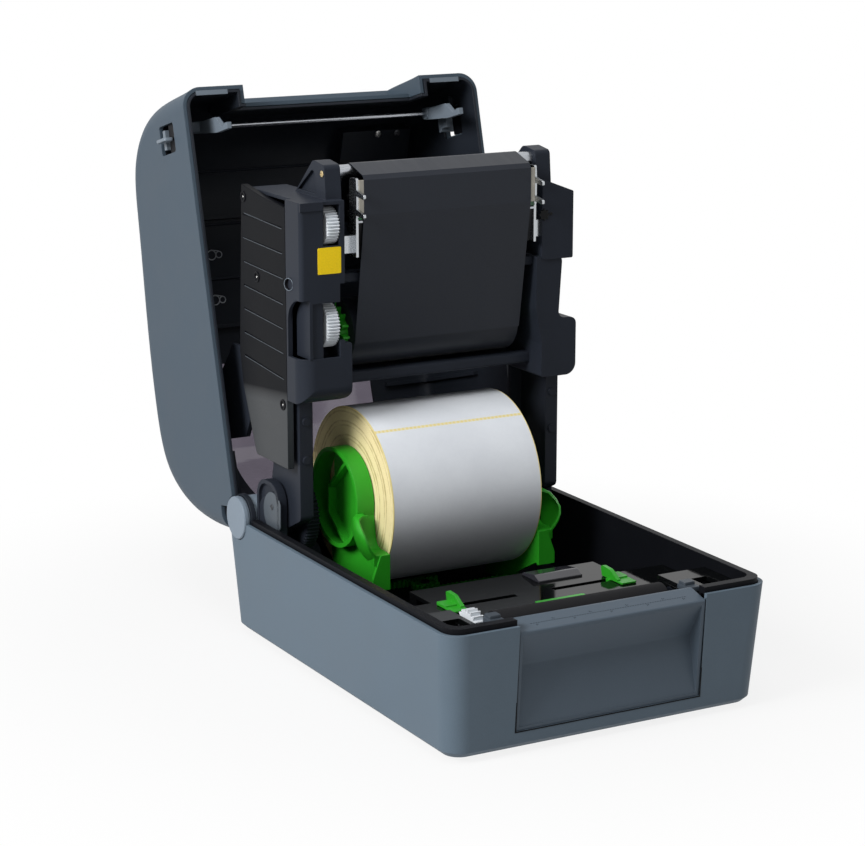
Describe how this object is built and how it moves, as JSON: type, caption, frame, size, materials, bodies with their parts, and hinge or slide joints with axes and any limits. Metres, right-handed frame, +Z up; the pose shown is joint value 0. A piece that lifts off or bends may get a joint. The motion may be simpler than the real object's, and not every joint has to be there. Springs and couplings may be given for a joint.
{
  "type": "thermal label printer",
  "caption": "Desktop thermal transfer label printer, cover and ribbon carriage open, with label roll, ribbon, platen, print head and paper guides.",
  "frame": {"origin": "on the surface it stands on, under the middle of the whole printer with its cover open", "axes": "+Z up, -Y towards the front where labels come out, +X to the right as seen from the front"},
  "size_m": [0.2052, 0.4162, 0.325],
  "materials": {
    "shell_grey": "fine moulded grain",
    "black_plastic": "satin",
    "gloss_black": "gloss",
    "rubber": "matte",
    "steel": "satin",
    "motor_metal": "satin",
    "heatsink": "satin",
    "ceramic": "glazed",
    "circuit_board": "solder mask",
    "smoked_window": "smoked, clear",
    "status_lens": "clear",
    "green_plastic": "satin",
    "white_gear": "satin",
    "ribbon_film": "waxy film",
    "label_paper": "coated paper",
    "core_board": "card"
  },
  "bodies": {
    "base": {"base_shell": "shell_grey", "media_tray": "black_plastic", "front_panel": "shell_grey", "front_deck": "black_plastic", "media_platform": "gloss_black", "rubber_feet": "rubber", "hinge_barrels": "shell_grey", "pivot_housings": "black_plastic", "pivot_pins": "steel", "platen_bushes": "black_plastic", "stepper_motor": "motor_metal", "main_board": "circuit_board", "usb_port": "steel", "lan_port": "steel", "dc_inlet": "black_plastic", "switch_frame": "black_plastic", "gap_sensor_cover": "gloss_black", "damper_body": "black_plastic"},
    "cover": {"cover_shell": "shell_grey", "cover_liner": "black_plastic", "cover_window": "smoked_window", "panel_housing": "black_plastic", "status_lens": "status_lens"},
    "latch": {"latch_levers": "shell_grey", "latch_rod": "steel"},
    "feed_button": {"feed_button": "black_plastic"},
    "carriage": {"carriage_chassis": "black_plastic", "carriage_left_frame": "black_plastic", "carriage_side_cover": "black_plastic", "carriage_right_frame": "black_plastic", "print_head": "ceramic", "head_heatsink": "heatsink", "head_brackets": "steel", "ribbon_guide_shaft": "steel", "ribbon_web": "ribbon_film", "hinge_gear": "black_plastic"},
    "ribbon_supply": {"supply_spindle": "green_plastic", "supply_gear": "white_gear", "ribbon_supply_roll": "ribbon_film"},
    "ribbon_takeup": {"takeup_spindle": "green_plastic", "takeup_gear": "white_gear", "ribbon_takeup_roll": "ribbon_film"},
    "thumb_gear": {"thumb_gear": "white_gear"},
    "supply_wheel": {"supply_wheel": "white_gear"},
    "platen": {"platen_shaft": "steel", "platen_rubber": "rubber", "platen_gear": "white_gear"},
    "drive_idler": {"drive_idler": "white_gear"},
    "motor_pinion": {"motor_pinion": "motor_metal"},
    "damper_pinion": {"damper_pinion": "black_plastic"},
    "label_roll": {"label_roll": "label_paper", "label_core": "core_board"},
    "roll_holder_left": {"roll_holder_left": "green_plastic"},
    "roll_holder_right": {"roll_holder_right": "green_plastic"},
    "holder_pinion": {"holder_pinion": "green_plastic"},
    "media_guide_left": {"media_guide_left": "green_plastic"},
    "media_guide_right": {"media_guide_right": "green_plastic"},
    "guide_pinion": {"guide_pinion": "green_plastic"},
    "sensor_slider": {"sensor_slider": "green_plastic"},
    "power_rocker": {"power_rocker": "black_plastic"}
  },
  "joints": [
    {"name": "cover_hinge", "type": "hinge", "parent": "base", "child": "cover", "pos_m": [0, 0.0525, 0.0738], "axis": [1, 0, 0], "range_deg": [0, 104.8]},
    {"name": "carriage_hinge", "type": "hinge", "parent": "base", "child": "carriage", "pos_m": [0, 0.0269, 0.08], "axis": [1, 0, 0], "range_deg": [0, 77]},
    {"name": "damper_spin", "type": "hinge", "parent": "base", "child": "damper_pinion", "pos_m": [0, 0.0269, 0.05125], "axis": [1, 0, 0], "range_deg": [-300, 0]},
    {"name": "latch_pull", "type": "hinge", "parent": "cover", "child": "latch", "pos_m": [0, 0.14474, 0.29766], "axis": [1, 0, 0], "range_deg": [0, 8], "stiffness_Nm_per_rad": 0.4, "springref_deg": -5.73},
    {"name": "feed_press", "type": "slide", "parent": "cover", "child": "feed_button", "axis": [0, -0.9671, -0.2544], "range_m": [0, 0.0015], "stiffness_N_per_m": 600, "springref_m": -0.0005},
    {"name": "supply_spin", "type": "hinge", "parent": "carriage", "child": "ribbon_supply", "pos_m": [0, 0.0069, 0.191], "axis": [1, 0, 0], "continuous": true},
    {"name": "takeup_spin", "type": "hinge", "parent": "carriage", "child": "ribbon_takeup", "pos_m": [0, 0.0149, 0.24], "axis": [1, 0, 0], "continuous": true},
    {"name": "thumb_spin", "type": "hinge", "parent": "carriage", "child": "thumb_gear", "pos_m": [0, -0.01375, 0.25804], "axis": [1, 0, 0], "continuous": true},
    {"name": "wheel_spin", "type": "hinge", "parent": "carriage", "child": "supply_wheel", "pos_m": [0, -0.01077, 0.20047], "axis": [1, 0, 0], "continuous": true},
    {"name": "platen_spin", "type": "hinge", "parent": "base", "child": "platen", "pos_m": [0, -0.1711, 0.0615], "axis": [1, 0, 0], "continuous": true},
    {"name": "idler_spin", "type": "hinge", "parent": "base", "child": "drive_idler", "pos_m": [0, -0.1549, 0.03836], "axis": [1, 0, 0], "continuous": true},
    {"name": "motor_spin", "type": "hinge", "parent": "base", "child": "motor_pinion", "pos_m": [0, -0.13341, 0.0326], "axis": [1, 0, 0], "continuous": true},
    {"name": "roll_spin", "type": "hinge", "parent": "base", "child": "label_roll", "pos_m": [0, 0.0024, 0.093], "axis": [1, 0, 0], "continuous": true},
    {"name": "holder_slide", "type": "slide", "parent": "base", "child": "roll_holder_left", "axis": [-1, 0, 0], "range_m": [0, 0.007]},
    {"name": "holder_right_slide", "type": "slide", "parent": "base", "child": "roll_holder_right", "axis": [1, 0, 0], "range_m": [0, 0.007]},
    {"name": "holder_pinion_spin", "type": "hinge", "parent": "base", "child": "holder_pinion", "pos_m": [0, 0.0024, 0.027], "axis": [0, 0, 1], "range_deg": [0, 60]},
    {"name": "guide_slide", "type": "slide", "parent": "base", "child": "media_guide_left", "axis": [-1, 0, 0], "range_m": [-0.034, 0.006]},
    {"name": "guide_right_slide", "type": "slide", "parent": "base", "child": "media_guide_right", "axis": [1, 0, 0], "range_m": [-0.034, 0.006]},
    {"name": "guide_pinion_spin", "type": "hinge", "parent": "base", "child": "guide_pinion", "pos_m": [0, -0.1251, 0.06], "axis": [0, 0, 1], "range_deg": [-360, 90]},
    {"name": "sensor_slide", "type": "slide", "parent": "base", "child": "sensor_slider", "axis": [1, 0, 0], "range_m": [-0.03, 0.03]},
    {"name": "power_rock", "type": "hinge", "parent": "base", "child": "power_rocker", "pos_m": [-0.062, 0.06106, 0.0165], "axis": [1, 0, 0], "range_deg": [0, 16]}
  ],
  "couplings": [
    {"joint": "carriage_hinge", "follows": "cover_hinge", "ratio": 0.73473},
    {"joint": "damper_spin", "follows": "cover_hinge", "ratio": -2.7552},
    {"joint": "takeup_spin", "follows": "supply_spin", "ratio": 1.4286},
    {"joint": "thumb_spin", "follows": "supply_spin", "ratio": -3.2773},
    {"joint": "wheel_spin", "follows": "supply_spin", "ratio": -0.57143},
    {"joint": "idler_spin", "follows": "platen_spin", "ratio": -0.64706},
    {"joint": "motor_spin", "follows": "platen_spin", "ratio": 2.2},
    {"joint": "holder_right_slide", "follows": "holder_slide", "ratio": 1},
    {"joint": "holder_pinion_spin", "follows": "holder_slide", "rad_per_m": 125},
    {"joint": "guide_right_slide", "follows": "guide_slide", "ratio": 1},
    {"joint": "guide_pinion_spin", "follows": "guide_slide", "rad_per_m": 166.67}
  ]
}
